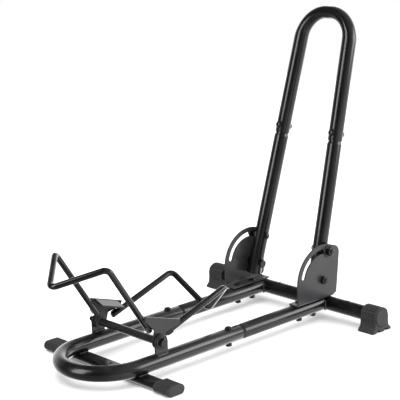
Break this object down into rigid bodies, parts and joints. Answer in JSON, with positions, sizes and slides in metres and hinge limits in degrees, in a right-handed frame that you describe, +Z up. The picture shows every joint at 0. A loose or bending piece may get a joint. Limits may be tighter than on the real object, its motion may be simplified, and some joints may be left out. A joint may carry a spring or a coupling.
{
  "type": "floor bike rack",
  "caption": "Floor bike rack: U-bent tube base with a tilting wire wheel cradle at the front and a folding hoop on slotted quadrant brackets at the rear.",
  "frame": {"origin": "middle of the whole rack's footprint, on the floor", "axes": "+Z up, +Y towards the hoop at the rear, -Y the end where the wheel rolls in, +X to the right seen from the front end looking to the rear"},
  "size_m": [0.406, 0.6429, 0.5232],
  "materials": {
    "frame_paint": "satin black powder coat on bent steel tube and rod",
    "bracket_paint": "satin black powder coat on pressed steel sheet",
    "black_fastener": "glossy black coated steel bolts, nuts and washers",
    "foot_moulding": "matte black moulded plastic with grip grooves",
    "bush_nylon": "plain black nylon"
  },
  "bodies": {
    "base": {"rear_foot_left": "foot_moulding", "rear_foot_right": "foot_moulding", "front_foot_cap_left": "foot_moulding", "front_foot_cap_right": "foot_moulding", "front_rail_loop": "frame_paint", "rear_rail_left": "frame_paint", "rear_rail_right": "frame_paint", "rear_crossbar": "frame_paint", "front_foot_bar": "frame_paint", "cradle_ear_left": "frame_paint", "cradle_ear_right": "frame_paint", "quadrant_bracket_left": "bracket_paint", "quadrant_bracket_right": "bracket_paint", "bracket_bolts": "black_fastener", "bracket_nuts": "black_fastener", "rail_splice_bolts": "black_fastener", "rail_splice_nuts": "black_fastener", "cradle_pivot_bolt": "black_fastener", "cradle_pivot_nut": "black_fastener", "cradle_outer_washers": "black_fastener", "hoop_pivot_bolts": "black_fastener", "hoop_pivot_nuts": "black_fastener", "hoop_pivot_washers": "black_fastener", "cradle_bushes": "bush_nylon"},
    "hoop": {"hoop_top_tube": "frame_paint", "hoop_leg_left": "frame_paint", "hoop_leg_right": "frame_paint", "hoop_splice_bolts": "black_fastener", "hoop_splice_nuts": "black_fastener", "slot_bolts": "black_fastener", "slot_spacers": "black_fastener", "slot_washers": "black_fastener", "slot_nuts": "black_fastener"},
    "cradle": {"cradle_cross_tube": "frame_paint", "cradle_plate_left": "frame_paint", "cradle_plate_right": "frame_paint", "cradle_front_loop": "frame_paint", "cradle_rear_loop": "frame_paint", "cradle_inner_discs": "frame_paint"}
  },
  "joints": [
    {"name": "hoop_fold", "type": "hinge", "parent": "base", "child": "hoop", "pos_m": [0, 0.18488, 0.0727], "axis": [1, 0, 0], "range_deg": [0, 78]},
    {"name": "cradle_tilt", "type": "hinge", "parent": "base", "child": "cradle", "pos_m": [0, -0.17412, 0.055], "axis": [1, 0, 0], "range_deg": [-14, 51]}
  ]
}
